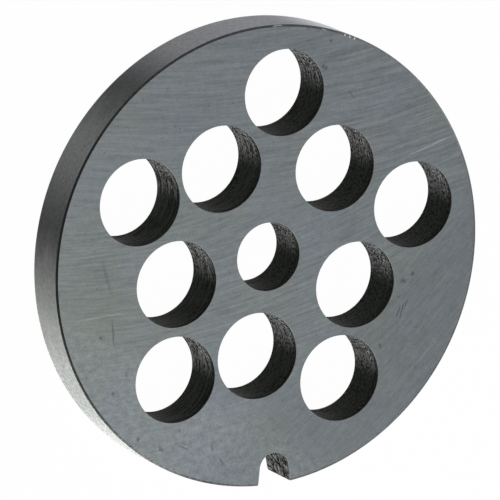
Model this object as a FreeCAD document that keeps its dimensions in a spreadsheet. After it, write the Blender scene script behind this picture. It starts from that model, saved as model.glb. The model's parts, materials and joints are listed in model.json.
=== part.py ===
"""A meat grinder plate: the round steel die whose holes the knife cuts meat against.

The plate is one piece of tool steel, drawn lying on its back face.  It is turned as a disc with a centre
bore and a small chamfer at each rim edge.  Ten meat holes are drilled through it, five on an inner ring and
five on an outer ring that stands half a step round from it.  The notch in the rim takes the peg that keeps
the plate from turning in the grinder.

Frame: the origin is the centre of the bore on the back face, +Z points out of the ground front face that
the knife runs on, and -Y points to the rim just beside the notch.  Sizes are in millimetres and degrees.
"""

import FreeCAD, Part

import math
import os

import Sketcher

NODE = "grinder_plate"

# The driving sizes: name, value and what the value sets.
SIZES = (
    ("plate_diameter", 69.5, "outside diameter of the disc"),
    ("plate_thickness", 7.4, "back face to front face"),
    ("rim_chamfer", 0.35, "45 degree chamfer on both rim edges"),
    ("bore_diameter", 10.3, "centre bore, which runs on the worm's stud"),
    ("bore_web", 4.0, "steel left between the bore and each inner hole"),
    ("hole_web", 1.37, "steel left between neighbouring inner and outer holes"),
    ("rim_web", 4.55, "steel left between each outer hole and the rim"),
    ("pattern_shift_x", 0.2, "how far both rings stand right of the bore"),
    ("pattern_shift_y", 0.7, "how far both rings stand above the bore"),
    ("notch_turn", 7.6, "angle of the notch from -Y towards +X"),
    ("notch_depth", 4.8, "from the rim to the root of the notch"),
    ("notch_root_radius", 2.35, "round root of the notch"),
    ("notch_flank_angle", 8.0, "how far each flank opens from the notch's centre line"),
    ("notch_overrun", 1.0, "how far the cutter's outline passes the rim"),
)

HOLES_PER_RING = 5
RING_STEP = 360.0 / HOLES_PER_RING
FIRST_ANGLE = {"outer": 90.0, "inner": 90.0 + RING_STEP / 2}

# The holes are as large as the three webs allow, so these sizes follow from the driving ones: name, formula
# and what the value is.  The plate's centre, an inner hole and an outer hole beside it make a triangle whose
# side between the holes is one hole diameter and one web; its cosine law is a quadratic in the diameter.
LAYOUT = (
    ("inner_reach", "Sizes.bore_diameter / 2 + Sizes.bore_web", "centre to the near side of an inner hole"),
    ("outer_reach", "Sizes.plate_diameter / 2 - Sizes.rim_web", "centre to the far side of an outer hole"),
    ("lean", f"cos({RING_STEP / 2} deg)", "cosine of the turn between an inner hole and an outer one"),
    ("square_term", "(1 - lean) / 2", "the quadratic's share of the diameter squared"),
    ("linear_term", "(1 + lean) * (outer_reach - inner_reach) + 2 * Sizes.hole_web", "its share of the diameter"),
    ("plain_term", "inner_reach ^ 2 + outer_reach ^ 2 - 2 * lean * inner_reach * outer_reach"
                   " - Sizes.hole_web ^ 2", "its plain number"),
    ("hole_diameter", "(sqrt(linear_term ^ 2 + 4 * square_term * plain_term) - linear_term)"
                      " / (2 * square_term)", "each of the meat holes"),
    ("inner_ring_radius", "inner_reach + hole_diameter / 2", "circle through the inner holes"),
    ("outer_ring_radius", "outer_reach - hole_diameter / 2", "circle through the outer holes"),
)

# The drill wandered a little at each hole: right and up from the even place on the ring, counted
# anticlockwise from FIRST_ANGLE.
DRILL_WANDER = {
    "outer": ((-0.1, 0.2), (0.3, 0.2), (0.2, 0.1), (-0.3, 0.0), (0.7, -0.3)),
    "inner": ((-0.1, -0.2), (-0.1, 0.1), (-0.5, 0.0), (-0.1, -0.2), (0.3, -0.1)),
}

# How closely a feature's volume has to match what its sizes say, as a share of that volume.
VOLUME_SLACK = 1e-3

# Sketcher's own numbers for a sketch's two axes and for the points of a line or an arc.
X_AXIS, Y_AXIS = range(-1, -3, -1)
START, END, CENTRE = range(1, 4)


def wander_name(ring, number, axis):
    """The sheet's name for one hole's wander along x or y."""
    return f"{ring}_{number + 1}_wander_{axis}"


def sheet_rows():
    """Every row of the sheet: the driving sizes, then the wander of each hole."""
    rows = list(SIZES)
    for ring, wanders in DRILL_WANDER.items():
        for number, wander in enumerate(wanders):
            for axis, value in zip("xy", wander):
                rows.append((wander_name(ring, number, axis), value, "drill wander"))
    return rows


SIZE = {name: value for name, value, note in sheet_rows()}


def make_sheet(doc):
    """The spreadsheet that every feature reads its sizes from."""
    sheet = doc.addObject("Spreadsheet::Sheet", "Sizes")
    for row, (name, value, note) in enumerate(sheet_rows(), start=1):
        sheet.set(f"A{row}", name)
        sheet.set(f"B{row}", str(value))
        sheet.set(f"C{row}", note)
        sheet.setAlias(f"B{row}", name)
    doc.recompute()


def make_layout(doc):
    """The sizes of the hole pattern, worked out from the sheet and kept up to date with it."""
    layout = doc.addObject("App::VarSet", "Layout")
    for name, formula, note in LAYOUT:
        layout.addProperty("App::PropertyFloat", name, "Holes", note)
        layout.setExpression(name, formula)
    doc.recompute()
    return layout


def origin_plane(body, role):
    """A plane of the body's own origin, found by its role."""
    return next(feature for feature in body.Origin.OriginFeatures if feature.Role == role)


def add_sketch(body, name, plane):
    """An empty sketch on one of the body's own origin planes."""
    sketch = body.newObject("Sketcher::SketchObject", name)
    sketch.AttachmentSupport = [(origin_plane(body, plane), "")]
    sketch.MapMode = "FlatFace"
    return sketch


def bind(sketch, name, formula, kind, *where_and_value):
    """A named dimension that the sheet drives; the last value given is the one it starts from."""
    index = sketch.addConstraint(Sketcher.Constraint(kind, *where_and_value))
    sketch.renameConstraint(index, name)
    sketch.setExpression(f"Constraints.{name}", formula)


def add_line(sketch, start, end):
    """A line between two points; gives back its number in the sketch."""
    segment = Part.LineSegment(FreeCAD.Vector(*start, 0), FreeCAD.Vector(*end, 0))
    return sketch.addGeometry(segment, False)


def join(sketch, first, first_point, second, second_point):
    """Two line ends share one point."""
    sketch.addConstraint(Sketcher.Constraint("Coincident", first, first_point, second, second_point))


def draw_section(sketch):
    """Half the turned section: bore wall, both faces, the rim and its two chamfers."""
    bore = SIZE["bore_diameter"] / 2
    rim = SIZE["plate_diameter"] / 2
    top = SIZE["plate_thickness"]
    chamfer = SIZE["rim_chamfer"]
    corners = (
        (bore, 0),
        (rim - chamfer, 0),
        (rim, chamfer),
        (rim, top - chamfer),
        (rim - chamfer, top),
        (bore, top),
    )
    lines = [add_line(sketch, corners[i - 1], corners[i]) for i in range(len(corners))]
    for i in range(len(lines)):
        join(sketch, lines[i - 1], END, lines[i], START)
    wall, back, low_chamfer, outside, high_chamfer, front = lines
    for line in (back, front):
        sketch.addConstraint(Sketcher.Constraint("Horizontal", line))
    for line in (wall, outside):
        sketch.addConstraint(Sketcher.Constraint("Vertical", line))
    sketch.addConstraint(Sketcher.Constraint("PointOnObject", back, START, X_AXIS))
    centre = (X_AXIS, START)
    bind(sketch, "BoreRadius", "Sizes.bore_diameter / 2", "DistanceX", *centre, back, START, bore)
    bind(sketch, "RimRadius", "Sizes.plate_diameter / 2", "DistanceX", *centre, outside, START, rim)
    bind(sketch, "Thickness", "Sizes.plate_thickness", "DistanceY", *centre, front, END, top)
    low = (low_chamfer, START, low_chamfer, END)
    high = (high_chamfer, END, high_chamfer, START)
    bind(sketch, "BackChamferWidth", "Sizes.rim_chamfer", "DistanceX", *low, chamfer)
    bind(sketch, "BackChamferHeight", "Sizes.rim_chamfer", "DistanceY", *low, chamfer)
    bind(sketch, "FrontChamferWidth", "Sizes.rim_chamfer", "DistanceX", *high, chamfer)
    bind(sketch, "FrontChamferHeight", "Sizes.rim_chamfer", "DistanceY", high_chamfer, START,
         high_chamfer, END, chamfer)


def turn_disc(body):
    """The disc, turned about the upright axis with its bore and chamfers."""
    section = add_sketch(body, "DiscSection", "XZ_Plane")
    draw_section(section)
    disc = body.newObject("PartDesign::Revolution", "Disc")
    disc.Profile = section
    disc.ReferenceAxis = (section, ["V_Axis"])
    disc.Angle = 360
    return disc


def draw_hole(sketch, layout, ring, number):
    """One meat hole's circle: its even place on the ring, plus the drill's wander there."""
    angle = FIRST_ANGLE[ring] + RING_STEP * number
    turned = {"x": math.cos(math.radians(angle)), "y": math.sin(math.radians(angle))}
    turn_formula = {"x": f"cos({angle} deg)", "y": f"sin({angle} deg)"}
    ring_radius = f"{ring}_ring_radius"
    place = {}
    formula = {}
    for axis in "xy":
        shift = f"pattern_shift_{axis}"
        wander = wander_name(ring, number, axis)
        place[axis] = SIZE[shift] + getattr(layout, ring_radius) * turned[axis] + SIZE[wander]
        formula[axis] = f"Sizes.{shift} + Layout.{ring_radius} * {turn_formula[axis]} + Sizes.{wander}"
    centre = FreeCAD.Vector(place["x"], place["y"], 0)
    outline = Part.Circle(centre, FreeCAD.Vector(0, 0, 1), layout.hole_diameter / 2)
    circle = sketch.addGeometry(outline, False)
    label = f"{ring.capitalize()}{number + 1}"
    bind(sketch, f"{label}X", formula["x"], "DistanceX", X_AXIS, START, circle, CENTRE, place["x"])
    bind(sketch, f"{label}Y", formula["y"], "DistanceY", X_AXIS, START, circle, CENTRE, place["y"])
    return circle


def drill_holes(body, layout):
    """Both rings of meat holes, straight through from face to face."""
    sketch = add_sketch(body, "MeatHolesSketch", "XY_Plane")
    circles = [
        draw_hole(sketch, layout, ring, number) for ring in FIRST_ANGLE for number in range(HOLES_PER_RING)
    ]
    bind(sketch, "HoleDiameter", "Layout.hole_diameter", "Diameter", circles[0], layout.hole_diameter)
    for circle in circles[1:]:
        sketch.addConstraint(Sketcher.Constraint("Equal", circles[0], circle))
    return cut_through(body, sketch, "MeatHoles")


def draw_notch(sketch):
    """The notch's outline about its own centre line: a round root and two flanks that open outwards."""
    rim = SIZE["plate_diameter"] / 2
    root = SIZE["notch_root_radius"]
    flank = math.radians(SIZE["notch_flank_angle"])
    centre_y = -(rim - SIZE["notch_depth"] + root)
    mouth_y = -(rim + SIZE["notch_overrun"])
    tangent_x = root * math.cos(flank)
    tangent_y = centre_y + root * math.sin(flank)
    mouth_x = tangent_x + (tangent_y - mouth_y) * math.tan(flank)
    circle = Part.Circle(FreeCAD.Vector(0, centre_y, 0), FreeCAD.Vector(0, 0, 1), root)
    arc = sketch.addGeometry(Part.ArcOfCircle(circle, flank, math.pi - flank), False)
    left = add_line(sketch, (-tangent_x, tangent_y), (-mouth_x, mouth_y))
    mouth = add_line(sketch, (-mouth_x, mouth_y), (mouth_x, mouth_y))
    right = add_line(sketch, (mouth_x, mouth_y), (tangent_x, tangent_y))
    join(sketch, left, END, mouth, START)
    join(sketch, mouth, END, right, START)
    sketch.addConstraint(Sketcher.Constraint("Tangent", arc, END, left, START))
    sketch.addConstraint(Sketcher.Constraint("Tangent", right, END, arc, START))
    sketch.addConstraint(Sketcher.Constraint("PointOnObject", arc, CENTRE, Y_AXIS))
    sketch.addConstraint(Sketcher.Constraint("Symmetric", mouth, START, mouth, END, Y_AXIS))
    bind(sketch, "RootRadius", "Sizes.notch_root_radius", "Radius", arc, root)
    bind(sketch, "RootCentre", "Sizes.plate_diameter / 2 - Sizes.notch_depth + Sizes.notch_root_radius",
         "DistanceY", arc, CENTRE, X_AXIS, START, -centre_y)
    bind(sketch, "MouthDistance", "Sizes.plate_diameter / 2 + Sizes.notch_overrun",
         "DistanceY", mouth, START, X_AXIS, START, -mouth_y)
    bind(sketch, "FlankAngle", "90 deg + Sizes.notch_flank_angle * 1 deg", "Angle", right, math.pi / 2 + flank)


def cut_notch(body):
    """The anti-turn notch, cut straight through the rim."""
    sketch = add_sketch(body, "NotchSketch", "XY_Plane")
    upright = FreeCAD.Vector(0, 0, 1)
    turned = FreeCAD.Rotation(upright, SIZE["notch_turn"])
    sketch.AttachmentOffset = FreeCAD.Placement(FreeCAD.Vector(0, 0, 0), turned)
    sketch.setExpression("AttachmentOffset.Rotation.Angle", "Sizes.notch_turn * 1 deg")
    draw_notch(sketch)
    return cut_through(body, sketch, "Notch")


def cut_through(body, sketch, name):
    """A pocket from the back face up through the front face."""
    pocket = body.newObject("PartDesign::Pocket", name)
    pocket.Profile = sketch
    pocket.Type = "ThroughAll"
    pocket.Reversed = True
    return pocket


def disc_volume():
    """Volume of the turned disc: a cylinder less its bore and two rings of chamfer."""
    rim = SIZE["plate_diameter"] / 2
    bore = SIZE["bore_diameter"] / 2
    chamfer = SIZE["rim_chamfer"]
    chamfer_ring = 2 * math.pi * (rim - chamfer / 3) * chamfer ** 2 / 2
    return math.pi * (rim ** 2 - bore ** 2) * SIZE["plate_thickness"] - 2 * chamfer_ring


def holes_volume(layout):
    """Volume that the meat holes take away."""
    count = HOLES_PER_RING * len(FIRST_ANGLE)
    return count * math.pi * (layout.hole_diameter / 2) ** 2 * SIZE["plate_thickness"]


def notch_volume(sketch, uncut):
    """Volume that the notch takes away: what its outline holds of the uncut plate."""
    outline = Part.Face(sketch.Shape.Wires[0])
    cutter = outline.extrude(FreeCAD.Vector(0, 0, SIZE["plate_thickness"]))
    return cutter.common(uncut.Shape).Volume


def check_volume(name, found, wanted):
    """Stops the build where a feature's volume isn't what its sizes say."""
    if abs(found - wanted) > VOLUME_SLACK * wanted:
        raise RuntimeError(f"{name}: volume {found:.2f} mm3, wanted {wanted:.2f} mm3")


def check_states(doc):
    """Stops the build where any object is broken."""
    for item in doc.Objects:
        if "Invalid" in item.State or "Error" in item.State:
            raise RuntimeError(f"{item.Name} is {item.State}")


def build_plate(doc, layout):
    """The whole plate as one body."""
    body = doc.addObject("PartDesign::Body", "Plate")
    body.Label = NODE
    disc = turn_disc(body)
    doc.recompute()
    check_volume("disc", disc.Shape.Volume, disc_volume())
    holes = drill_holes(body, layout)
    doc.recompute()
    check_volume("meat holes", disc.Shape.Volume - holes.Shape.Volume, holes_volume(layout))
    notch = cut_notch(body)
    doc.recompute()
    check_volume("notch", holes.Shape.Volume - notch.Shape.Volume, notch_volume(notch.Profile[0], holes))
    body.Tip = notch
    doc.recompute()
    return body


def write_step(body):
    """The body's shape to its own file, once it is sound and one solid."""
    shape = body.Shape
    if shape.isNull() or not shape.isValid() or len(shape.Solids) != 1:
        raise RuntimeError(f"{body.Label} is not one sound solid")
    shape.exportStep(os.path.join("parts", f"{body.Label}.step"))


def main():
    os.makedirs("parts", exist_ok=True)
    doc = FreeCAD.newDocument("GrinderPlate")
    make_sheet(doc)
    layout = make_layout(doc)
    body = build_plate(doc, layout)
    check_states(doc)
    write_step(body)


main()
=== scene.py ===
"""A worn meat grinder plate, lying on its back face on a pale floor.

The add-on has one operator for the plate, one for the studio round it, and a panel with their settings.
The plate is one mesh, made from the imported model's own sizes: its outline with the notch, its bore and its
meat holes.  Its steel has seven finishes, one for each material slot.  Lengths are in metres unless a name
or a comment says mm.  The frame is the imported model's, with +Z up out of the ground front face.
"""

import json
from math import atan2, cos, hypot, pi, radians, sin

import bmesh
import bpy
from mathutils import Matrix, Vector


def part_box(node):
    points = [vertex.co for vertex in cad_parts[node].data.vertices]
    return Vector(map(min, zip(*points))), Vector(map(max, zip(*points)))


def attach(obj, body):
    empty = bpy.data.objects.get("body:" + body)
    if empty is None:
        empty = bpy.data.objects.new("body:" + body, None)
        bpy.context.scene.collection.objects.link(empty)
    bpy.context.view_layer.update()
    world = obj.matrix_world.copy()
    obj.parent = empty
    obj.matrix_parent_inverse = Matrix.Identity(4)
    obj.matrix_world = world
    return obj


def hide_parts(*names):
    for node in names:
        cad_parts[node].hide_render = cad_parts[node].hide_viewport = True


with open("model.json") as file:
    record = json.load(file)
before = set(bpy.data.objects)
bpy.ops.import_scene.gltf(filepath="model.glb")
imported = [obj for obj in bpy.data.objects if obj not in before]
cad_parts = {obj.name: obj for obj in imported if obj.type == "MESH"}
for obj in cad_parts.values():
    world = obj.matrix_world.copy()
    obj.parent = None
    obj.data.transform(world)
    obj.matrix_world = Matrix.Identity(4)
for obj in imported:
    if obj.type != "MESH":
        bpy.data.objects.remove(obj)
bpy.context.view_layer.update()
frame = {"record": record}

bl_info = {
    "name": "Meat grinder plate",
    "version": (1, 0, 0),
    "blender": (4, 5, 0),
    "location": "View3D > Sidebar > Grinder plate",
    "description": "Builds a worn meat grinder plate and its studio",
    "category": "Add Mesh",
}

MM = 0.001
NODE = "grinder_plate"

# The finishes, in the order of the mesh's material slots, and the UV map that lays every wall out flat.
SLOT_ORDER = ("front", "back", "rim", "chamfer", "bore", "mouth", "notch")
WALL_MAP = "wall"

# From the start of one hole's wall to the start of the next one's in the flat layout.
WALL_SPACING = 60 * MM

# How deep the marks of each finish are.
GRIND_DEPTH = 0.004 * MM
LATHE_DEPTH = 0.004 * MM
DRILL_DEPTH = 0.05 * MM
TEAR_DEPTH = 0.2 * MM
EDGE_WEAR_DEPTH = 0.01 * MM

# Centres of the grinding sweeps off the plate, and the width and length of their streaks, in mm. The wheel's
# real marks are about 0.1 mm wide, and are drawn four or five times as wide so that they show.
GRIND_ARCS = {
    "upper": {"centre": (-20.7, 162.0), "width": 0.4, "length": 9.0},
    "middle": {"centre": (-37.4, 108.7), "width": 0.4, "length": 7.0},
    "lower_right": {"centre": (-209.0, 185.0), "width": 0.5, "length": 4.0},
}

# Where the front face changes, in mm: to the upper sweep with its weaker marks over y; to fresh marks over x
# and y; to the right-hand sweep and to smooth wear over x - y; and to corrosion over -x/2 - y.
UPPER_SWEEP = (4.0, 13.0)
FRESH_X = (-6.0, 12.0)
FRESH_Y = (6.0, 16.0)
RIGHT_SWEEP = (18.0, 32.0)
WORN_SMOOTH = (20.0, 32.0)
CORRODED = (20.0, 29.0)

# Strength of the grinding marks: what fresh steel adds, what corrosion and smooth wear leave, and what the
# middle and the upper sweep have.
FRESH_GRIND = 0.3
CORRODED_GRIND = 0.45
SMOOTH_GRIND = 0.55
MIDDLE_GRIND = 1.25
UPPER_GRIND = 0.95

# Strength of the mottling, on sound and on corroded steel, and of the grain.
MOTTLE = (0.5, 1.2)
GRAIN = 0.5

# How much paler or darker than the rest two parts of the face are: the corroded one and the one worn smooth.
# The corroded lower left is paler partly from its corrosion and partly as painted light; the worn lower
# right is darker partly from its wear and partly as painted shade.
PALE_CORROSION_AND_LIGHT = 1.1
DARK_POLISH_AND_SHADE = 0.9

# A patch of faint rust at the left of the face, in mm, and how far it hides the steel.
RUST_CENTRE = (-25.0, -8.0)
RUST_REACH = 17.0
RUST_COVER = 0.9

# Start, end and half width in mm, and how much lighter or darker than the face.
FACE_SCRATCHES = (
    ((19.8, 14.2), (29.8, 18.5), 0.2, 1.55),
    ((22.6, 20.0), (27.0, 21.8), 0.18, 1.25),
    ((10.5, 25.1), (12.1, 23.5), 0.18, 0.68),
    ((-27.6, 0.2), (-25.1, -6.1), 0.4, 0.8),
    ((-25.0, -8.6), (-24.0, -14.0), 0.25, 0.65),
    ((-31.6, -9.5), (-20.8, -7.9), 0.2, 1.3),
    ((-33.0, -0.3), (-25.4, 0.7), 0.2, 1.25),
    ((23.0, -7.4), (22.4, -9.6), 0.18, 0.5),
    ((23.5, -7.0), (23.0, -9.9), 0.18, 0.45),
    ((24.0, -6.6), (23.6, -8.6), 0.18, 0.6),
    ((24.3, -18.9), (30.2, -12.3), 0.3, 1.22),
    ((-12.4, -28.2), (-9.9, -29.1), 0.18, 0.55),
    ((-6.6, -27.9), (-6.2, -29.4), 0.18, 0.55),
    ((-5.2, -30.0), (-4.0, -31.6), 0.18, 0.55),
)

# The same, for the bright knocks on the rim's front edge.
EDGE_KNOCKS = (
    ((-1.0, 34.6), (-3.2, 34.47), 0.13, 5.0),
    ((6.2, 33.95), (5.2, 34.1), 0.12, 4.0),
    ((9.5, 33.15), (9.1, 33.3), 0.2, 5.0),
    ((10.4, 32.9), (9.9, 33.05), 0.2, 4.5),
    ((11.1, 32.65), (10.8, 32.75), 0.2, 4.5),
)

# Centre and radius in mm of the dark pits, and how dark they are in the middle.
FACE_PITS = (
    ((3.0, 34.2), 0.45), ((7.0, 32.3), 0.4), ((6.6, 28.3), 0.5), ((6.1, 28.5), 0.35),
    ((23.1, -3.8), 0.45), ((24.4, -2.8), 0.5), ((22.5, -6.2), 0.35), ((20.2, -13.7), 0.35),
    ((-23.6, -20.3), 0.5), ((-21.6, -17.5), 0.35), ((-26.3, -12.0), 0.45),
    ((-18.7, -27.2), 0.4), ((-14.9, -28.8), 0.5), ((-12.1, -26.0), 0.35),
)
PIT_SHADE = 0.5

# How far a scratch and a pit's edge stray, in mm for each unit of noise, and how far apart their bends are.
SHAKY = 0.35
RAGGED = 1.2
BEND_SIZE = 0.77

# How far off two noises are read, in mm, so that they differ from others.
SECOND_BENDS = (40.0, 0.0, 0.0)
WARM_CLOUDS = (90.0, 40.0, 0.0)

# Middle, reach and depth of the rim's and its chamfers' bands of painted shade, in degrees from -Y by way
# of +X.  They stand for the dark reflections of the rim and its chamfers, most of all at the upper left and
# left.
RIM_PAINTED_SHADE = (
    (207.0, 16.0, 0.15), (224.5, 19.0, 0.93), (244.0, 18.0, 0.45), (263.0, 19.5, 0.95), (289.0, 14.0, 0.25),
)
CHAMFER_PAINTED_SHADE = (
    (200.0, 36.0, 0.5), (240.0, 45.0, 0.85), (286.0, 49.0, 0.95), (320.0, 32.0, 0.45), (20.0, 40.0, 0.5),
    (155.0, 45.0, 0.3),
)

# Middle and reach of the painted highlights on the rim, at its lower left and at its top, in the same
# degrees, and how much brighter they make it.  The lower left one is on the chamfers too.
LEFT_PAINTED_HIGHLIGHT = (327.0, 18.0, 0.4)
TOP_PAINTED_HIGHLIGHT = (168.0, 14.0, 0.8)

# In the same degrees, where the bare tone turns from the upper one to the left one and where the speckle
# grows; the speckle's strength before and after; and how far from side to side the edge of a band of painted
# shade strays.
TONE_TURN = (190.0, 265.0)
SPECKLE_TURN = (285.0, 310.0)
SPECKLE = (1.7, 3.2)
SHADE_EDGE_STRAY = 6.0

# A whole turn in degrees, and a quarter of one as a shader counts it.
FULL_TURN = 360.0
QUARTER_TURN = 0.25

# Direction of the side of the drilled walls that is painted bright, a painted highlight of their chatter
# where the light falls, and how far up a wall, in mm, the dull band at its mouth grows.
LIT_TORN_SIDE = (-cos(radians(75)), -sin(radians(75)), 0.0)
NEAR_MOUTH = (5.6, 7.2)

# How far that band dulls the torn flakes, and how much lower it makes the marks.
MOUTH_DULLS = 0.85
MOUTH_LOWERS = 0.07

# Where over x, in mm, the walls' marks turn from rings to chatter, and the chatter's share at each end.
CHATTER_SIDE = (-25.0, 25.0)
CHATTER_SHARE = (0.3, 0.8)

# Across and along the notch's slanting cracks, on its wall laid out flat, and the cracks' own size in mm.
ACROSS_CRACKS = (0.93, -0.36, 0.0)
ALONG_CRACKS = (0.36, 0.93, 0.0)
CRACK_WIDTH = 1.25
CRACK_LENGTH = 2.9

# Azimuth and elevation in degrees, distance and size in metres, and the radiance that a mirror would show.
LAMPS = (
    {"name": "key_softbox", "azimuth": -76, "elevation": 60, "distance": 0.4, "size": (0.32, 0.3),
     "radiance": 1.15, "colour": (1.0, 1.0, 1.0)},
    {"name": "side_window", "azimuth": -114, "elevation": 12, "distance": 0.45, "size": (0.6, 0.15),
     "radiance": 8.4, "colour": (0.99, 1.0, 0.98)},
    {"name": "low_panel", "azimuth": -48, "elevation": 12, "distance": 0.45, "size": (0.25, 0.15),
     "radiance": 6.5, "colour": (1.0, 1.0, 1.0)},
    {"name": "far_window", "azimuth": 25, "elevation": 14, "distance": 0.45, "size": (0.3, 0.2),
     "radiance": 5.2, "colour": (0.96, 0.96, 1.0)},
)

# Half the floor's width, how far the floor lies under the plate, and how far the camera sees.
FLOOR_REACH = 4.0
FLOOR_GAP = 0.02 * MM
CAMERA_REACH = 20.0
SENSOR_WIDTH_MM = 36.0

# Numbers of a Mix node's colour sockets, two that go in and one that comes out.
COLOUR_IN = (6, 7)
COLOUR_OUT = 2

# Makes a Map Range node fade smoothly from one level to another.
SMOOTH = {"interpolation_type": "SMOOTHSTEP"}


def linear(hex_colour):
    """An sRGB hex colour as the three linear numbers that Blender works in."""
    channels = [int(hex_colour[i:i + 2], 16) / 255 for i in (1, 3, 5)]
    return tuple(c / 12.92 if c <= 0.04045 else ((c + 0.055) / 1.055) ** 2.4 for c in channels)


def colour_setting(name, description, hex_colour):
    """A colour that a user can change, from its sRGB hex value."""
    return bpy.props.FloatVectorProperty(name=name, description=description, default=linear(hex_colour),
                                         min=0.0, max=1.0, subtype="COLOR")


class PlateSettings(bpy.types.PropertyGroup):
    """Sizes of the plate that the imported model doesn't give by name, and how finely it is meshed."""

    chamfer_width: bpy.props.FloatProperty(
        name="Chamfer width", description="How far the rim's chamfers run across the face",
        default=0.33 * MM, unit="LENGTH")
    chamfer_height: bpy.props.FloatProperty(
        name="Chamfer height", description="How far the rim's chamfers run down the rim",
        default=0.18 * MM, unit="LENGTH")
    hole_radius: bpy.props.FloatProperty(
        name="Hole radius", description="Radius of each meat hole", default=6.5 * MM, unit="LENGTH")
    mouth_break: bpy.props.FloatProperty(
        name="Mouth break", description="Edge break where each hole meets a face",
        default=0.04 * MM, unit="LENGTH")
    notch_turn: bpy.props.FloatProperty(
        name="Notch turn", description="Turn of the notch from -Y towards +X",
        default=radians(7.6), subtype="ANGLE")
    notch_depth: bpy.props.FloatProperty(
        name="Notch depth", description="From the rim to the notch's root", default=4.8 * MM, unit="LENGTH")
    notch_root_radius: bpy.props.FloatProperty(
        name="Notch root radius", description="Radius of the notch's round root",
        default=2.35 * MM, unit="LENGTH")
    notch_flank_angle: bpy.props.FloatProperty(
        name="Notch flank angle", description="How far each flank opens from the notch's centre line",
        default=radians(8.0), subtype="ANGLE")
    rim_steps: bpy.props.IntProperty(
        name="Rim steps", description="Straight pieces along the rim", default=320, min=32)
    hole_steps: bpy.props.IntProperty(
        name="Hole steps", description="Straight pieces round each hole", default=112, min=16)
    root_steps: bpy.props.IntProperty(
        name="Root steps", description="Straight pieces round the notch's root", default=28, min=8)
    flank_steps: bpy.props.IntProperty(
        name="Flank steps", description="Straight pieces along each flank", default=8, min=2)
    rim_bands: bpy.props.IntProperty(
        name="Rim bands", description="Bands of the rim's height", default=10, min=1)
    sharp_angle: bpy.props.FloatProperty(
        name="Sharp angle", description="Faces that meet at more than this angle show a crease",
        default=radians(20), subtype="ANGLE")


class SteelSettings(bpy.types.PropertyGroup):
    """The colours of the plate's finishes."""

    face: colour_setting("Front face", "Its ground steel", "#70767A")
    face_tarnish: colour_setting("Front tarnish", "Broad clouds of tarnish", "#717777")
    face_warm: colour_setting("Front warm tarnish", "Warmer clouds of tarnish", "#787674")
    face_rust: colour_setting("Front rust", "The patch of faint rust", "#71746B")
    back: colour_setting("Back face", "Its ground steel", "#747B7F")
    rim: colour_setting("Rim", "Bare turned steel of the rim", "#8D8F93")
    rim_left: colour_setting("Rim, left side", "The same, at the left", "#8E908E")
    # Painted shade: the colour of the bands that darken the rim, most of all at its upper left.
    rim_painted_shade: colour_setting("Rim stain", "Dark stains of the rim", "#414242")
    chamfer: colour_setting("Chamfer", "Bare turned steel of the chamfers", "#6B6C6D")
    chamfer_left: colour_setting("Chamfer, left side", "The same, at the left", "#6B6B6A")
    # Painted shade: the colour of the bands that darken the chamfers.
    chamfer_painted_shade: colour_setting("Chamfer stain", "Dark stains of the chamfers", "#212323")
    drilled: colour_setting("Drilled wall", "The dark sides of the drilled walls", "#1B1E19")
    # Painted light: this grey is laid on the side of the walls that faces the lamps.
    torn_and_lit: colour_setting("Torn wall", "The torn sides of the drilled walls", "#6E6F6E")
    wall_tint: colour_setting("Wall at a glance", "What drilled walls show at a glancing angle", "#E0E0E0")
    mouth: colour_setting("Hole edge", "The worn edge of each hole's mouth", "#585C5E")
    notch: colour_setting("Notch", "The dull hollows of the notch's wall", "#262725")
    notch_ridge: colour_setting("Notch ridge", "The bare ridges of the notch's wall", "#949693")
    # Painted shade: the flat dark of the walls' deepest pits and the notch's cracks, where no light comes
    # back.
    deep_pit_shade: colour_setting("Dirt", "What fills the deepest pits of the walls", "#0C0D0B")


class StudioSettings(bpy.types.PropertyGroup):
    """Where the camera stands, and the look of the floor and the room."""

    camera_azimuth: bpy.props.FloatProperty(
        name="Camera azimuth", description="Direction from the plate to the camera, from +X towards +Y",
        default=radians(157.99), subtype="ANGLE")
    camera_elevation: bpy.props.FloatProperty(
        name="Camera elevation", description="Height of the camera above the face, as an angle",
        default=radians(59.69), subtype="ANGLE")
    camera_roll: bpy.props.FloatProperty(
        name="Camera roll", description="Turn of the picture from the one that has +Y upright",
        default=radians(5.37), subtype="ANGLE")
    camera_distance: bpy.props.FloatProperty(
        name="Camera distance", description="From the aimed point to the camera",
        default=1.3073, unit="LENGTH")
    camera_lens: bpy.props.FloatProperty(
        name="Camera lens", description="Focal length on a 36 mm sensor", default=641.4, unit="CAMERA")
    aim: bpy.props.FloatVectorProperty(
        name="Aim", description="Point of the front face in the middle of the picture",
        default=(-3.17 * MM, 1.04 * MM, 7.4 * MM), subtype="TRANSLATION")
    floor: colour_setting("Floor", "Paper of the floor, where light falls on it", "#FCFCFC")
    floor_lift: bpy.props.FloatProperty(
        name="Floor lift", description="Share of plain white in what the camera sees of the floor",
        default=0.985, min=0.0, max=1.0)
    room: colour_setting("Room", "The room, and the plain white of the floor", "#FFFFFF")
    room_level: bpy.props.FloatProperty(
        name="Room level", description="Radiance of the room where it lights the floor", default=0.05)
    room_shine: bpy.props.FloatProperty(
        name="Room shine", description="Radiance of the room as steel shows it", default=0.7)


def packed_mount(name):
    """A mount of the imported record, by name."""
    return next(mount for mount in frame["record"]["mounts"] if mount["name"] == name)


def packed_hole_centres():
    """Centre of each meat hole, which is the middle of its opening in the record."""
    centres = []
    for opening in frame["record"]["physics"]["openings"]:
        if "meat_hole" in opening["name"]:
            low, high = opening["box_m"]
            centres.append(Vector(((low[0] + high[0]) / 2, (low[1] + high[1]) / 2, 0)))
    return centres


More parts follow.
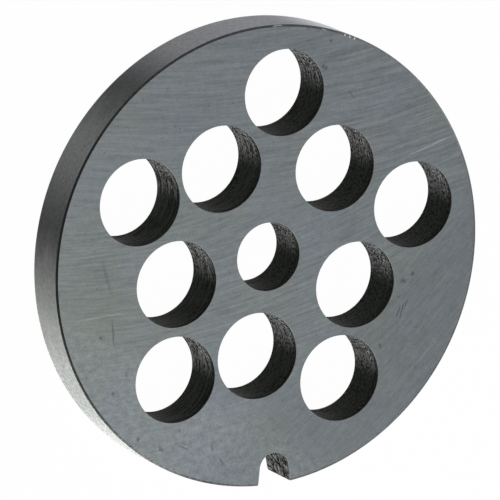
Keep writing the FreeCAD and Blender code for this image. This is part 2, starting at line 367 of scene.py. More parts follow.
def notch_outline(settings, plate_radius, rim_radius):
    """The notch from its -X mouth corner round the root to its +X mouth corner.

    The corners lie on a circle of rim_radius; the root stays where plate_radius puts it.
    """
    root = settings.notch_root_radius
    flank = settings.notch_flank_angle
    centre_y = -(plate_radius - settings.notch_depth + root)
    tangent = Vector((root * cos(flank), centre_y + root * sin(flank)))
    run = Vector((sin(flank), -cos(flank)))
    along = tangent.dot(run)
    to_rim = -along + (along ** 2 + rim_radius ** 2 - tangent.length_squared) ** 0.5
    right_flank = [tangent + run * to_rim * step / settings.flank_steps
                   for step in range(1, settings.flank_steps + 1)]
    sweep = pi - 2 * flank
    root_arc = []
    for step in range(settings.root_steps + 1):
        angle = pi - flank - sweep * step / settings.root_steps
        root_arc.append(Vector((root * cos(angle), centre_y + root * sin(angle))))
    left_flank = [Vector((-point.x, point.y)) for point in reversed(right_flank)]
    turn = Matrix.Rotation(settings.notch_turn, 2)
    return [turn @ point for point in left_flank + root_arc + right_flank]


def plate_outline(settings, plate_radius, rim_radius):
    """The whole outline at one height: the notch, then anticlockwise round the rim back to its start."""
    notch = notch_outline(settings, plate_radius, rim_radius)
    start = atan2(notch[-1].y, notch[-1].x)
    end = atan2(notch[0].y, notch[0].x) + 2 * pi
    if end - start > 2 * pi:
        end -= 2 * pi
    steps = settings.rim_steps
    rim = []
    for step in range(1, steps):
        angle = start + (end - start) * step / steps
        rim.append(Vector((rim_radius * cos(angle), rim_radius * sin(angle))))
    return notch + rim


def circle_outline(centre, radius, steps):
    """A circle's points, anticlockwise."""
    angles = [2 * pi * i / steps for i in range(steps)]
    return [Vector((centre.x + radius * cos(angle), centre.y + radius * sin(angle))) for angle in angles]


def first_loop(bm, points, height):
    """A closed loop of edges through the points; gives back its vertices in order."""
    verts = [bm.verts.new((point.x, point.y, height)) for point in points]
    for i, vert in enumerate(verts):
        bm.edges.new((vert, verts[(i + 1) % len(verts)]))
    return verts


def loop_edges(verts):
    """The edges between neighbouring vertices of a closed loop."""
    return [next(edge for edge in vert.link_edges if edge.other_vert(vert) is verts[(i + 1) % len(verts)])
            for i, vert in enumerate(verts)]


def raise_loop(bm, verts, points, height):
    """Extrudes a closed loop into a band of wall; gives back the new loop and the band's faces."""
    made = bmesh.ops.extrude_edge_only(bm, edges=loop_edges(verts))["geom"]
    new = {item for item in made if isinstance(item, bmesh.types.BMVert)}
    faces = [item for item in made if isinstance(item, bmesh.types.BMFace)]
    raised = [next(edge.other_vert(vert) for edge in vert.link_edges if edge.other_vert(vert) in new)
              for vert in verts]
    for vert, point in zip(raised, points):
        vert.co = (point.x, point.y, height)
    return raised, faces


def measure_loop(points):
    """Distance along a closed loop of points, from its start to each point and back to the start."""
    lengths = [0.0]
    for i, point in enumerate(points):
        lengths.append(lengths[-1] + (points[(i + 1) % len(points)] - point).length)
    return lengths


def unwrap_band(faces, loops, lengths, uv_layer):
    """Lays a band of wall out flat: across is the way along the loop, up is the height."""
    place = {vert: i for loop in loops for i, vert in enumerate(loop)}
    for face in faces:
        numbers = [place[corner.vert] for corner in face.loops]
        wraps = max(numbers) - min(numbers) > 1
        for corner, number in zip(face.loops, numbers):
            if wraps and number == 0:
                number = len(lengths) - 1
            corner[uv_layer].uv = (lengths[number], corner.vert.co.z)


def build_wall(bm, uv_layer, outlines, heights, choose_finish, start=0.0):
    """A closed wall from the back face to the front face; gives back its lowest and highest loops.

    choose_finish gets the number of a band, one of its faces and its two loops, and names the face's finish.
    start is how far along the flat layout the wall begins, so that no two walls show the same marks.
    """
    lengths = [start + length for length in measure_loop(outlines[0])]
    loop = lowest = first_loop(bm, outlines[0], heights[0])
    for band, (points, height) in enumerate(zip(outlines[1:], heights[1:])):
        raised, faces = raise_loop(bm, loop, points, height)
        unwrap_band(faces, (loop, raised), lengths, uv_layer)
        for face in faces:
            face.material_index = SLOT_ORDER.index(choose_finish(band, face, (loop, raised)))
        loop = raised
    return lowest, loop


def rim_levels(settings, plate_radius, thickness):
    """Radius and height of each loop of the rim, from the back face to the front face."""
    low, high = settings.chamfer_height, thickness - settings.chamfer_height
    levels = [(plate_radius - settings.chamfer_width, 0.0)]
    for step in range(settings.rim_bands + 1):
        levels.append((plate_radius, low + (high - low) * step / settings.rim_bands))
    levels.append((plate_radius - settings.chamfer_width, thickness))
    return levels


def build_rim(bm, uv_layer, settings, plate_radius, thickness):
    """The rim with its chamfers and the notch's wall."""
    levels = rim_levels(settings, plate_radius, thickness)
    outlines = [plate_outline(settings, plate_radius, radius) for radius, height in levels]
    notch_count = len(notch_outline(settings, plate_radius, plate_radius))
    chamfer_bands = (0, len(levels) - 2)

    def choose_finish(band, face, loops):
        if all(vert in loops[0][:notch_count] or vert in loops[1][:notch_count] for vert in face.verts):
            return "notch"
        return "chamfer" if band in chamfer_bands else "rim"

    return build_wall(bm, uv_layer, outlines, [height for radius, height in levels], choose_finish)


def build_hole(bm, uv_layer, settings, centre, radius, thickness, start=0.0):
    """One drilled hole with a small edge break at each face."""
    mouth = settings.mouth_break
    wide = radius + mouth
    levels = ((wide, 0.0), (radius, mouth), (radius, thickness - mouth), (wide, thickness))
    outlines = [circle_outline(centre, level_radius, settings.hole_steps) for level_radius, height in levels]

    def choose_finish(band, face, loops):
        return "bore" if band == 1 else "mouth"

    heights = [height for level_radius, height in levels]
    return build_wall(bm, uv_layer, outlines, heights, choose_finish, start)


def fill_face(bm, loops, finish):
    """Fills one face of the plate between its outline and its holes."""
    edges = [edge for loop in loops for edge in loop_edges(loop)]
    filled = bmesh.ops.triangle_fill(bm, use_beauty=True, edges=edges)["geom"]
    for item in filled:
        if isinstance(item, bmesh.types.BMFace):
            item.material_index = SLOT_ORDER.index(finish)


def soften_shading(bm, sharp_angle):
    """Smooth shading over the curves, with creases where faces meet at more than sharp_angle."""
    for face in bm.faces:
        face.smooth = True
    for edge in bm.edges:
        edge.smooth = edge.calc_face_angle(0.0) < sharp_angle


def build_plate_mesh(settings):
    """The plate as one closed mesh."""
    low, high = (Vector(corner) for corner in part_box(NODE))
    plate_radius = packed_mount("rim")["dims"]["r_mm"] * MM
    bore_radius = packed_mount("centre_bore")["dims"]["r_mm"] * MM
    thickness = high.z - low.z
    bm = bmesh.new()
    uv_layer = bm.loops.layers.uv.new(WALL_MAP)
    walls = [build_rim(bm, uv_layer, settings, plate_radius, thickness),
             build_hole(bm, uv_layer, settings, Vector((0, 0, 0)), bore_radius, thickness)]
    for number, centre in enumerate(packed_hole_centres(), start=1):
        walls.append(build_hole(bm, uv_layer, settings, centre, settings.hole_radius, thickness,
                                number * WALL_SPACING))
    fill_face(bm, [lowest for lowest, highest in walls], "back")
    fill_face(bm, [highest for lowest, highest in walls], "front")
    bmesh.ops.recalc_face_normals(bm, faces=bm.faces)
    soften_shading(bm, settings.sharp_angle)
    mesh = bpy.data.meshes.new("plate")
    bm.to_mesh(mesh)
    bm.free()
    return mesh


def add_node(tree, kind, inputs=(), **settings):
    """Adds a node with its settings and links.

    inputs gives the node's inputs in order, or some of them by name or number in a dict.  Each is a value, a
    socket, or a node whose first output is linked.
    """
    node = tree.nodes.new("ShaderNode" + kind)
    for name, value in settings.items():
        setattr(node, name, value)
    for name, value in inputs.items() if isinstance(inputs, dict) else enumerate(inputs):
        socket = node.inputs[name]
        if isinstance(value, bpy.types.Node):
            value = value.outputs[0]
        if isinstance(value, bpy.types.NodeSocket):
            tree.links.new(value, socket)
        elif socket.type == "RGBA":
            socket.default_value = (*value, 1.0)
        else:
            socket.default_value = value
    return node


def new_material(name):
    """An empty node material."""
    material = bpy.data.materials.new(name)
    material.use_nodes = True
    material.node_tree.nodes.clear()
    return material


def finish_material(tree, shader):
    """Joins a shader to its material's output."""
    add_node(tree, "OutputMaterial", {"Surface": shader})


def plate_mm(tree):
    """Place on the plate in millimetres, with the height left out."""
    place = add_node(tree, "TexCoord").outputs["Object"]
    return add_node(tree, "VectorMath", (place, (1 / MM, 1 / MM, 0.0)), operation="MULTIPLY")


def wall_mm(tree):
    """Place on a wall laid out flat, in millimetres: across is along the wall, up is the height."""
    place = add_node(tree, "UVMap", uv_map=WALL_MAP)
    return add_node(tree, "VectorMath", (place, (1 / MM, 1 / MM, 0.0)), operation="MULTIPLY")


def angle_round(tree, place):
    """Angle of a place round the plate's axis, in degrees from -Y by way of +X."""
    parts = add_node(tree, "SeparateXYZ", (place,))
    down = add_node(tree, "Math", (parts.outputs["Y"], -1.0), operation="MULTIPLY")
    turned = add_node(tree, "Math", (parts.outputs["X"], down), operation="ARCTAN2")
    turned = add_node(tree, "Math", (turned, 180 / pi, FULL_TURN), operation="MULTIPLY_ADD")
    return add_node(tree, "Math", (turned, FULL_TURN), operation="MODULO")


def draw_marks(tree, place, length, width, detail=2.0, roughness=0.5):
    """Noise from 0 to 1 over a place in millimetres, with marks of a length along x and a width along y."""
    laid = add_node(tree, "VectorMath", (place, (1 / length, 1 / width, 0.0)), operation="MULTIPLY")
    inputs = {"Vector": laid, "Scale": 1.0, "Detail": detail, "Roughness": roughness}
    return add_node(tree, "TexNoise", inputs)


def near(tree, value, centre, reach):
    """1 where value is at centre, smoothly down to 0 at reach to either side."""
    away = add_node(tree, "Math", (value, centre), operation="SUBTRACT")
    away = add_node(tree, "Math", (away,), operation="ABSOLUTE")
    return add_node(tree, "MapRange", (away, 0.0, reach, 1.0, 0.0), **SMOOTH)


def swing(tree, value, strength):
    """1, plus how far a noise is from its middle times a strength."""
    away = add_node(tree, "Math", (value, 0.5), operation="SUBTRACT")
    return add_node(tree, "Math", (away, strength, 1.0), operation="MULTIPLY_ADD")


def shade(tree, colour, *factors):
    """A colour times each of some grey factors."""
    for factor in factors:
        colour = add_node(tree, "VectorMath", {0: colour, "Scale": factor}, operation="SCALE")
    return colour


def lay_over(tree, colour, *layers):
    """A colour with others laid over it in turn, each as (its cover, its colour)."""
    for cover, layer in layers:
        inputs = {0: cover, COLOUR_IN[0]: colour, COLOUR_IN[1]: layer}
        colour = add_node(tree, "Mix", inputs, data_type="RGBA").outputs[COLOUR_OUT]
    return colour


def metal(tree, colour, roughness, bump, bump_height, **finish):
    """The shader of one metal surface.

    bump goes from 0 to 1 over bump_height.  finish may hold edge_tint, what the metal shows at a glancing
    angle, and across_marks, how far its shine spreads at right angles to marks that run along a wall.
    """
    bumped = add_node(tree, "Bump", {"Height": bump, "Distance": bump_height})
    inputs = {"Base Color": colour, "Metallic": 1.0, "Roughness": roughness, "Normal": bumped}
    if "edge_tint" in finish:
        inputs["Specular Tint"] = finish["edge_tint"]
    if "across_marks" in finish:
        inputs["Anisotropic"] = finish["across_marks"]
        inputs["Anisotropic Rotation"] = QUARTER_TURN
        inputs["Tangent"] = add_node(tree, "Tangent", direction_type="UV_MAP", uv_map=WALL_MAP)
    return add_node(tree, "BsdfPrincipled", inputs)


def fill_pits(tree, shader, deep_pit_shade, pits):
    """A shader with a flat dull dark where pits is 1: painted shade for pits too deep to send light back,
    whatever the angle.
    """
    dull = add_node(tree, "BsdfDiffuse", {"Color": deep_pit_shade})
    return add_node(tree, "MixShader", (pits, shader, dull))


def arc_streaks(tree, place, centre, width, length):
    """Fine streaks, from 0 to 1, along arcs about a centre off the plate."""
    arm = add_node(tree, "VectorMath", (place, (*centre, 0.0)), operation="SUBTRACT")
    radius = add_node(tree, "VectorMath", (arm,), operation="LENGTH").outputs["Value"]
    parts = add_node(tree, "SeparateXYZ", (arm,))
    angle = add_node(tree, "Math", (parts.outputs["Y"], parts.outputs["X"]), operation="ARCTAN2")
    reach = hypot(*centre)
    across = add_node(tree, "Math", (radius, width), operation="DIVIDE")
    along = add_node(tree, "Math", (angle, reach / length), operation="MULTIPLY")
    laid = add_node(tree, "CombineXYZ", (across, along, reach))
    return add_node(tree, "TexNoise", {"Vector": laid, "Scale": 1.0, "Detail": 5.0, "Roughness": 0.7})


def scratch(tree, place, start, end, width):
    """1 along a straight scratch, down to 0 at its sides and over the last third at each end."""
    run = Vector(end) - Vector(start)
    reach = run.length / 2
    along_way = (*(run / run.length), 0.0)
    side_way = (-along_way[1], along_way[0], 0.0)
    middle = (*((Vector(start) + Vector(end)) / 2), 0.0)
    arm = add_node(tree, "VectorMath", (place, middle), operation="SUBTRACT")
    along = add_node(tree, "VectorMath", (arm, along_way), operation="DOT_PRODUCT").outputs["Value"]
    across = add_node(tree, "VectorMath", (arm, side_way), operation="DOT_PRODUCT").outputs["Value"]
    along = add_node(tree, "Math", (along,), operation="ABSOLUTE")
    ends = add_node(tree, "MapRange", (along, reach / 3, reach, 1.0, 0.0), **SMOOTH)
    return add_node(tree, "Math", (ends, near(tree, across, 0.0, width)), operation="MULTIPLY")


def draw_single_marks(tree, place, colour, scratches, pits=()):
    """The scratches and pits that show singly, lighter or darker than the steel, and with ragged sides."""
    moved = add_node(tree, "VectorMath", (place, SECOND_BENDS), operation="ADD")
    bends = [draw_marks(tree, start, BEND_SIZE, BEND_SIZE) for start in (place, moved)]
    stray = add_node(tree, "CombineXYZ", bends)
    stray = add_node(tree, "VectorMath", (stray, (0.5, 0.5, 0.0)), operation="SUBTRACT")
    shaky = add_node(tree, "VectorMath", (stray, (SHAKY, SHAKY, 0.0), place), operation="MULTIPLY_ADD")
    ragged = add_node(tree, "VectorMath", (stray, (RAGGED, RAGGED, 0.0), place), operation="MULTIPLY_ADD")
    for start, end, width, brightness in scratches:
        line = scratch(tree, shaky, start, end, width)
        factor = add_node(tree, "Math", (line, brightness - 1, 1.0), operation="MULTIPLY_ADD")
        colour = shade(tree, colour, factor)
    for centre, radius in pits:
        away = add_node(tree, "VectorMath", (ragged, (*centre, 0.0)), operation="DISTANCE").outputs["Value"]
        pit = add_node(tree, "MapRange", (away, 0.0, radius, PIT_SHADE, 1.0), **SMOOTH)
        colour = shade(tree, colour, pit)
    return colour


def grind_marks(tree, place, y, rightwards):
    """Streaks of the grinding wheel: three sweeps of arcs, one over each part of the face."""
    streaks = {sweep: arc_streaks(tree, place, **arc) for sweep, arc in GRIND_ARCS.items()}
    upper = add_node(tree, "MapRange", (y, *UPPER_SWEEP), **SMOOTH)
    lower_right = add_node(tree, "MapRange", (rightwards, *RIGHT_SWEEP), **SMOOTH)
    grind = add_node(tree, "Mix", {"Factor": upper, "A": streaks["middle"], "B": streaks["upper"]})
    return add_node(tree, "Mix", {"Factor": lower_right, "A": grind, "B": streaks["lower_right"]})


def grind_strength(tree, x, y, corroded, worn_smooth):
    """How strongly the grinding marks show: most on fresh steel, least where it is worn or corroded."""
    fresh_x = add_node(tree, "MapRange", (x, *FRESH_X), **SMOOTH)
    fresh_y = add_node(tree, "MapRange", (y, *FRESH_Y), **SMOOTH)
    fresh = add_node(tree, "Math", (fresh_x, fresh_y), operation="MULTIPLY")
    sound = add_node(tree, "MapRange", (corroded, 0.0, 1.0, 1.0, CORRODED_GRIND), **SMOOTH)
    upwards = add_node(tree, "MapRange", (y, *UPPER_SWEEP, MIDDLE_GRIND, UPPER_GRIND), **SMOOTH)
    strength = add_node(tree, "Math", (fresh, FRESH_GRIND, sound), operation="MULTIPLY_ADD")
    strength = add_node(tree, "Math", (strength, upwards), operation="MULTIPLY")
    return add_node(tree, "Math", (strength, worn_smooth), operation="MULTIPLY")


def tarnished_face(tree, place, mottle, steel):
    """The face's colour under its marks: cold grey steel with clouds of tarnish and a patch of rust."""
    tarnish = draw_marks(tree, place, 14.0, 14.0, detail=3.0)
    tarnish = add_node(tree, "MapRange", (tarnish, 0.35, 0.65), **SMOOTH)
    moved = add_node(tree, "VectorMath", (place, WARM_CLOUDS), operation="ADD")
    warm = add_node(tree, "MapRange", (draw_marks(tree, moved, 9.0, 9.0), 0.55, 0.75, 0.0, 0.3), **SMOOTH)
    away = add_node(tree, "VectorMath", (place, (*RUST_CENTRE, 0.0)), operation="DISTANCE").outputs["Value"]
    patch = add_node(tree, "MapRange", (away, 0.0, RUST_REACH, RUST_COVER, 0.0), **SMOOTH)
    blotches = add_node(tree, "MapRange", (mottle, 0.3, 0.7), **SMOOTH)
    rust = add_node(tree, "Math", (patch, blotches), operation="MULTIPLY")
    return lay_over(tree, steel.face, (tarnish, steel.face_tarnish), (warm, steel.face_warm),
                    (rust, steel.face_rust))


def ground_front_material(steel):
    """Ground tool steel: a dull satin grey with the grinding wheel's fine arcs across it.

    Use has worn it smooth at the lower right and damp has mottled and pitted it at the lower left.  The
    lower right is darker, partly as painted shade, and the lower left paler, partly as painted light.  The
    mottling is about 1 mm across.  The real grain and specks are too fine to show, and are drawn at 0.2 and
    0.4 mm.
    """
    material = new_material("ground_tool_steel")
    tree = material.node_tree
    place = plate_mm(tree)
    parts = add_node(tree, "SeparateXYZ", (place,))
    x, y = parts.outputs["X"], parts.outputs["Y"]
    rightwards = add_node(tree, "Math", (x, y), operation="SUBTRACT")
    down = add_node(tree, "Math", (y, -1.0), operation="MULTIPLY")
    leftwards = add_node(tree, "Math", (x, -0.5, down), operation="MULTIPLY_ADD")

    corroded = add_node(tree, "MapRange", (leftwards, *CORRODED), **SMOOTH)
    worn_smooth = add_node(tree, "MapRange", (rightwards, *WORN_SMOOTH, 1.0, SMOOTH_GRIND), **SMOOTH)
    grind = grind_marks(tree, place, y, rightwards)
    mottle = draw_marks(tree, place, 1.1, 1.1, detail=5.0, roughness=0.75)
    mottle_strength = add_node(tree, "MapRange", (corroded, 0.0, 1.0, *MOTTLE), **SMOOTH)
    grain = draw_marks(tree, place, 0.22, 0.22)
    specks = draw_marks(tree, place, 0.43, 0.43)
    specks = add_node(tree, "MapRange", (specks, 0.66, 0.76, 1.0, 0.6), **SMOOTH)
    # Paler at the lower left and darker at the lower right: partly corrosion and wear, partly painted light
    # and painted shade.
    pale = add_node(tree, "MapRange", (corroded, 0.0, 1.0, 1.0, PALE_CORROSION_AND_LIGHT), **SMOOTH)
    dark = add_node(tree, "MapRange", (worn_smooth, SMOOTH_GRIND, 1.0, DARK_POLISH_AND_SHADE, 1.0), **SMOOTH)

    colour = tarnished_face(tree, place, mottle, steel)
    colour = shade(tree, colour, pale, dark,
                   swing(tree, grind, grind_strength(tree, x, y, corroded, worn_smooth)),
                   swing(tree, mottle, mottle_strength), swing(tree, grain, GRAIN), specks)
    colour = draw_single_marks(tree, place, colour, FACE_SCRATCHES + EDGE_KNOCKS, FACE_PITS)
    rough = add_node(tree, "MapRange", (grind, 0.2, 0.8, 0.36, 0.46), **SMOOTH)
    finish_material(tree, metal(tree, colour, rough, grind, GRIND_DEPTH))
    return material


def ground_back_material(steel):
    """Plainly ground steel for the back: an even satin grey with one sweep of arcs and no scratches."""
    material = new_material("plain_ground_steel")
    tree = material.node_tree
    grind = arc_streaks(tree, plate_mm(tree), **GRIND_ARCS["middle"])
    colour = shade(tree, steel.back, swing(tree, grind, 0.4))
    finish_material(tree, metal(tree, colour, 0.42, grind, GRIND_DEPTH))
    return material


def turned_steel_material(name, tones, painted_shades, painted_highlights, knocks=()):
    """Turned steel: fine rings of the lathe tool, which draw the light out into a soft upright band.

    Age has speckled it.  Bands of painted shade darken parts of it, and painted highlights brighten others.
    tones holds the colours of its bare steel above and at the left, and of its painted shade.  The lathe's
    real rings are about 0.1 mm apart, and are drawn three times as coarse so that they show.
    """
    material = new_material(name)
    tree = material.node_tree
    bare_upper, bare_left, painted_shade_tone = tones
    wall = wall_mm(tree)
    lathe = draw_marks(tree, wall, 17.0, 0.33, detail=4.0, roughness=0.65)
    cloud = draw_marks(tree, wall, 3.3, 1.7, detail=4.0)
    speckle = draw_marks(tree, wall, 0.6, 0.6, detail=5.0, roughness=0.8)
    place = plate_mm(tree)
    stray = add_node(tree, "Math", (cloud, SHADE_EDGE_STRAY, -SHADE_EDGE_STRAY / 2), operation="MULTIPLY_ADD")
    angle = add_node(tree, "Math", (angle_round(tree, place), stray), operation="ADD")

    # Bands of painted shade, laid over the bare steel's tone.
    painted_shade = 0.0
    for middle, reach, depth in painted_shades:
        band = add_node(tree, "Math", (near(tree, angle, middle, reach), depth), operation="MULTIPLY")
        painted_shade = add_node(tree, "Math", (band, painted_shade), operation="ADD", use_clamp=True)
    leftness = add_node(tree, "MapRange", (angle, *TONE_TURN), **SMOOTH)
    colour = lay_over(tree, bare_upper, (leftness, bare_left), (painted_shade, painted_shade_tone))
    # Painted highlights, which brighten the steel at the lower left and, on the rim, at the top.
    for middle, reach, brighter in painted_highlights:
        shine = near(tree, angle, middle, reach)
        shine = add_node(tree, "Math", (shine, brighter, 1.0), operation="MULTIPLY_ADD")
        colour = shade(tree, colour, shine)
    speckle_strength = add_node(tree, "MapRange", (angle, *SPECKLE_TURN, *SPECKLE), **SMOOTH)
    colour = shade(tree, colour, swing(tree, lathe, 0.35), swing(tree, cloud, 0.25),
                   swing(tree, speckle, speckle_strength))
    colour = draw_single_marks(tree, place, colour, knocks)
    finish_material(tree, metal(tree, colour, 0.45, lathe, LATHE_DEPTH, across_marks=1.0))
    return material


def drilled_bore_material(steel):
    """A hole's drilled wall: near black with the drill's grey rings; the chatter on one side is a painted
    highlight.

    The real rings are about 0.2 mm apart, and are drawn three times as coarse so that they show.  So are the
    chatter's crumbs and the dark specks among them, at about 0.4 mm.
    """
    material = new_material("drilled_bore_steel")
    tree = material.node_tree
    wall = wall_mm(tree)
    rings = draw_marks(tree, wall, 4.5, 0.55, detail=5.0, roughness=0.75)
    chatter = draw_marks(tree, wall, 0.5, 0.38, detail=4.0, roughness=0.75)
    side = add_node(tree, "SeparateXYZ", (plate_mm(tree),)).outputs["X"]
    share = add_node(tree, "MapRange", (side, *CHATTER_SIDE, *CHATTER_SHARE), **SMOOTH)
    marks = add_node(tree, "Mix", {"Factor": share, "A": rings, "B": chatter})

    # Painted light: the walls' chatter turns bright grey on the side that faces the lamps, by the way the
    # wall faces.
    outward = add_node(tree, "TexCoord").outputs["Normal"]
    facing = add_node(tree, "VectorMath", (outward, LIT_TORN_SIDE), operation="DOT_PRODUCT").outputs["Value"]
    torn_and_lit = add_node(tree, "Math", (chatter, 0.4, facing), operation="MULTIPLY_ADD")
    torn_and_lit = add_node(tree, "MapRange", (torn_and_lit, 0.36, 1.4), **SMOOTH)
    height = add_node(tree, "SeparateXYZ", (wall,)).outputs["Y"]
    near_mouth = add_node(tree, "MapRange", (height, *NEAR_MOUTH), **SMOOTH)
    sound = add_node(tree, "Math", (near_mouth, -MOUTH_DULLS, 1.0), operation="MULTIPLY_ADD")
    torn_and_lit = add_node(tree, "Math", (torn_and_lit, sound), operation="MULTIPLY")
    ringed = add_node(tree, "MapRange", (marks, 0.4, 0.6, 0.6, 1.8), **SMOOTH)
    crumbled = add_node(tree, "MapRange", (marks, 0.45, 0.56, 0.1, 3.3), **SMOOTH)
    colour = lay_over(tree, shade(tree, steel.drilled, ringed), (torn_and_lit, shade(tree, steel.torn_and_lit, crumbled)))

    low_marks = add_node(tree, "Math", (near_mouth, -MOUTH_LOWERS, marks), operation="MULTIPLY_ADD")
    low_marks = add_node(tree, "MapRange", (low_marks, 0.51, 0.43), **SMOOTH)
    # How much of the grooves' painted shade shows: more on the side that faces the light.
    groove_shade_share = add_node(tree, "MapRange", (torn_and_lit, 0.0, 1.0, 0.55, 1.0), **SMOOTH)
    grooves = add_node(tree, "Math", (low_marks, groove_shade_share), operation="MULTIPLY")
    specks = draw_marks(tree, wall, 0.55, 0.38, detail=3.0, roughness=0.7)
    specks = add_node(tree, "MapRange", (specks, 0.5, 0.56), **SMOOTH)
    specked = add_node(tree, "MapRange", (torn_and_lit, 0.1, 0.7), **SMOOTH)
    specks = add_node(tree, "Math", (specks, specked), operation="MULTIPLY")
    pits = add_node(tree, "Math", (grooves, specks), operation="MAXIMUM")
    shine = metal(tree, colour, 0.5, marks, DRILL_DEPTH, edge_tint=steel.wall_tint, across_marks=0.7)
    finish_material(tree, fill_pits(tree, shine, steel.deep_pit_shade, pits))
    return material


def torn_notch_material(steel):
    """The notch's rough wall: steel that tore along slanting cracks, painted shade black inside them and
    grey on the ridges.
    """
    material = new_material("torn_notch_steel")
    tree = material.node_tree
    wall = wall_mm(tree)
    across = add_node(tree, "VectorMath", (wall, ACROSS_CRACKS), operation="DOT_PRODUCT").outputs["Value"]
    along = add_node(tree, "VectorMath", (wall, ALONG_CRACKS), operation="DOT_PRODUCT").outputs["Value"]
    tear = draw_marks(tree, add_node(tree, "CombineXYZ", (across, along)), CRACK_WIDTH, CRACK_LENGTH,
                      detail=4.0, roughness=0.6)
    crack = add_node(tree, "Math", (tear, 0.5), operation="SUBTRACT")
    crack = add_node(tree, "Math", (crack,), operation="ABSOLUTE")
    crack = add_node(tree, "MapRange", (crack, 0.045, 0.01), **SMOOTH)
    blotch = draw_marks(tree, wall, 0.63, 0.63, detail=4.0, roughness=0.75)
    height = add_node(tree, "Math", (blotch, crack), operation="SUBTRACT")
    ridge = add_node(tree, "MapRange", (blotch, 0.44, 0.64), **SMOOTH)
    colour = lay_over(tree, steel.notch, (ridge, steel.notch_ridge))
    shine = metal(tree, colour, 0.55, height, TEAR_DEPTH)
    finish_material(tree, fill_pits(tree, shine, steel.deep_pit_shade, crack))
    return material


def worn_edge_material(steel):
    """Worn bare steel at each hole's mouth, which gives the hole a thin plain line between face and wall."""
    material = new_material("worn_edge_steel")
    tree = material.node_tree
    wear = draw_marks(tree, wall_mm(tree), 0.8, 0.8)
    finish_material(tree, metal(tree, steel.mouth, 0.45, wear, EDGE_WEAR_DEPTH))
    return material


def floor_material(settings):
    """Matt white paper: what camera, metal and glass see of it is mostly plain white, with a soft shadow.

    It shows from above alone, so that a view from below has the plate's back in it.
    """
    material = new_material("white_floor")
    tree = material.node_tree
    paper = add_node(tree, "BsdfDiffuse", {"Color": settings.floor})
    white = add_node(tree, "Emission", {"Color": settings.room, "Strength": 1.0})
    rays = add_node(tree, "LightPath").outputs
    seen = add_node(tree, "Math", (rays["Is Camera Ray"], rays["Is Glossy Ray"]), operation="MAXIMUM")
    seen = add_node(tree, "Math", (seen, rays["Is Transmission Ray"]), operation="MAXIMUM")
    share = add_node(tree, "Math", (seen, settings.floor_lift), operation="MULTIPLY")
    above = add_node(tree, "MixShader", (share, paper, white))
    underside = add_node(tree, "NewGeometry").outputs["Backfacing"]
    below = add_node(tree, "BsdfTransparent")
    finish_material(tree, add_node(tree, "MixShader", (underside, above, below)))
    return material


def plate_materials(steel):
    """One material for each slot, in the mesh's order."""
    rim_tones = (steel.rim, steel.rim_left, steel.rim_painted_shade)
    chamfer_tones = (steel.chamfer, steel.chamfer_left, steel.chamfer_painted_shade)
    made = {
        "front": ground_front_material(steel),
        "back": ground_back_material(steel),
        "rim": turned_steel_material("turned_rim_steel", rim_tones, RIM_PAINTED_SHADE, (LEFT_PAINTED_HIGHLIGHT, TOP_PAINTED_HIGHLIGHT)),
        "chamfer": turned_steel_material("turned_chamfer_steel", chamfer_tones, CHAMFER_PAINTED_SHADE,
                                         (LEFT_PAINTED_HIGHLIGHT,), EDGE_KNOCKS),
        "bore": drilled_bore_material(steel),
        "mouth": worn_edge_material(steel),
        "notch": torn_notch_material(steel),
    }
    return [made[slot] for slot in SLOT_ORDER]


class MESH_OT_grinder_plate(bpy.types.Operator):
    """Build the worn grinder plate and its steel"""

    bl_idname = "mesh.grinder_plate"
    bl_label = "Build Grinder Plate"

    def execute(self, context):
        mesh = build_plate_mesh(context.scene.plate_settings)
        plate = bpy.data.objects.new("worn_plate", mesh)
        context.collection.objects.link(plate)
        for material in plate_materials(context.scene.steel_settings):
            mesh.materials.append(material)
        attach(plate, "root")
        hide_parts(NODE)
        return {"FINISHED"}


def direction(azimuth, elevation):
    """Unit vector from the plate out at an azimuth from +X towards +Y and an elevation above the face."""
    return Vector((cos(elevation) * cos(azimuth), cos(elevation) * sin(azimuth), sin(elevation)))


def add_lamp(collection, lamp):
    """A rectangular soft lamp that faces the plate; radiance is what a mirror would show of it."""
    data = bpy.data.lights.new(lamp["name"], "AREA")
    data.shape = "RECTANGLE"
    data.size, data.size_y = lamp["size"]
    data.energy = lamp["radiance"] * pi * data.size * data.size_y
    data.color = lamp["colour"]
    outward = direction(radians(lamp["azimuth"]), radians(lamp["elevation"]))
    turned = outward.to_track_quat("Z", "Y").to_matrix().to_4x4()
    light = bpy.data.objects.new(lamp["name"], data)
    light.matrix_world = Matrix.Translation(outward * lamp["distance"]) @ turned
    collection.objects.link(light)


def add_floor(collection, settings):
    """A wide floor a hair's breadth under the plate, so that no two faces share one height."""
    bm = bmesh.new()
    bmesh.ops.create_grid(bm, x_segments=1, y_segments=1, size=FLOOR_REACH)
    bmesh.ops.translate(bm, verts=bm.verts, vec=(0.0, 0.0, -FLOOR_GAP))
    mesh = bpy.data.meshes.new("floor")
    bm.to_mesh(mesh)
    bm.free()
    mesh.materials.append(floor_material(settings))
    floor = bpy.data.objects.new("floor", mesh)
    collection.objects.link(floor)


def add_camera(scene, settings):
    """The camera at the photograph's angle, from a distance with a long lens."""
    data = bpy.data.cameras.new("camera")
    data.sensor_width = SENSOR_WIDTH_MM
    data.lens = settings.camera_lens
    data.clip_end = CAMERA_REACH
    outward = direction(settings.camera_azimuth, settings.camera_elevation)
    upright = (Vector((0, 1, 0)) - outward * outward.y).normalized()
    upright.rotate(Matrix.Rotation(settings.camera_roll, 3, outward))
    right = upright.cross(outward)
    turned = Matrix((right, upright, outward)).transposed().to_4x4()
    camera = bpy.data.objects.new("camera", data)
    stand = Vector(settings.aim) + outward * settings.camera_distance
    camera.matrix_world = Matrix.Translation(stand) @ turned
    scene.collection.objects.link(camera)
    scene.camera = camera


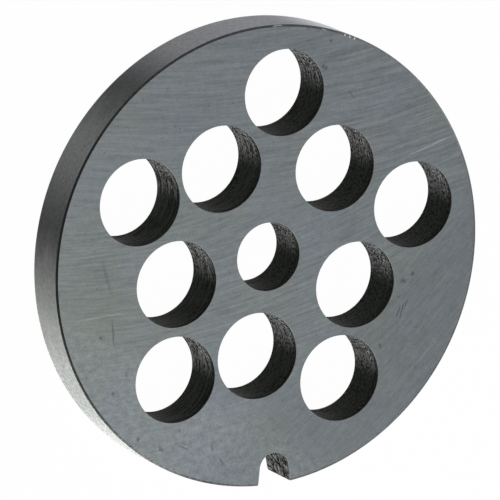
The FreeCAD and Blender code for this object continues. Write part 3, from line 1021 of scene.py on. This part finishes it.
def set_world(scene, settings):
    """An even white room, which steel shows, and which hardly lights the floor, so that the shadow stays."""
    world = bpy.data.worlds.new("white_room")
    world.use_nodes = True
    tree = world.node_tree
    tree.nodes.clear()
    rays = add_node(tree, "LightPath").outputs
    shine = add_node(tree, "Math", (rays["Is Glossy Ray"], settings.room_shine), operation="MULTIPLY")
    seen = add_node(tree, "Math", (rays["Is Camera Ray"], rays["Is Transmission Ray"]), operation="MAXIMUM")
    seen = add_node(tree, "Math", (seen, shine), operation="MAXIMUM")
    strength = add_node(tree, "Math", (seen, settings.room_level), operation="MAXIMUM")
    background = add_node(tree, "Background", {"Color": settings.room, "Strength": strength})
    add_node(tree, "OutputWorld", {"Surface": background})
    scene.world = world


class SCENE_OT_plate_studio(bpy.types.Operator):
    """Lay the floor and set up the lamps, the room and the camera"""

    bl_idname = "scene.plate_studio"
    bl_label = "Set Up Studio"

    def execute(self, context):
        scene = context.scene
        settings = scene.studio_settings
        add_floor(scene.collection, settings)
        for lamp in LAMPS:
            add_lamp(scene.collection, lamp)
        set_world(scene, settings)
        add_camera(scene, settings)
        scene.view_settings.view_transform = "Standard"
        return {"FINISHED"}


class VIEW3D_PT_grinder_plate(bpy.types.Panel):
    """The plate's, the steel's and the studio's settings"""

    bl_label = "Grinder Plate"
    bl_space_type = "VIEW_3D"
    bl_region_type = "UI"
    bl_category = "Grinder plate"

    def draw(self, context):
        layout = self.layout
        scene = context.scene
        for group, cls in GROUPS.items():
            box = layout.box()
            for name in cls.__annotations__:
                box.prop(getattr(scene, group), name)
        layout.operator(MESH_OT_grinder_plate.bl_idname)
        layout.operator(SCENE_OT_plate_studio.bl_idname)


GROUPS = {
    "plate_settings": PlateSettings,
    "steel_settings": SteelSettings,
    "studio_settings": StudioSettings,
}
CLASSES = (*GROUPS.values(), MESH_OT_grinder_plate, SCENE_OT_plate_studio, VIEW3D_PT_grinder_plate)


def register():
    for cls in CLASSES:
        bpy.utils.register_class(cls)
    for name, cls in GROUPS.items():
        setattr(bpy.types.Scene, name, bpy.props.PointerProperty(type=cls))


def unregister():
    for name in GROUPS:
        delattr(bpy.types.Scene, name)
    for cls in reversed(CLASSES):
        bpy.utils.unregister_class(cls)


def main():
    """Registers the add-on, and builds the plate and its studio."""
    register()
    bpy.ops.mesh.grinder_plate()
    bpy.ops.scene.plate_studio()


if __name__ == "__main__":
    main()
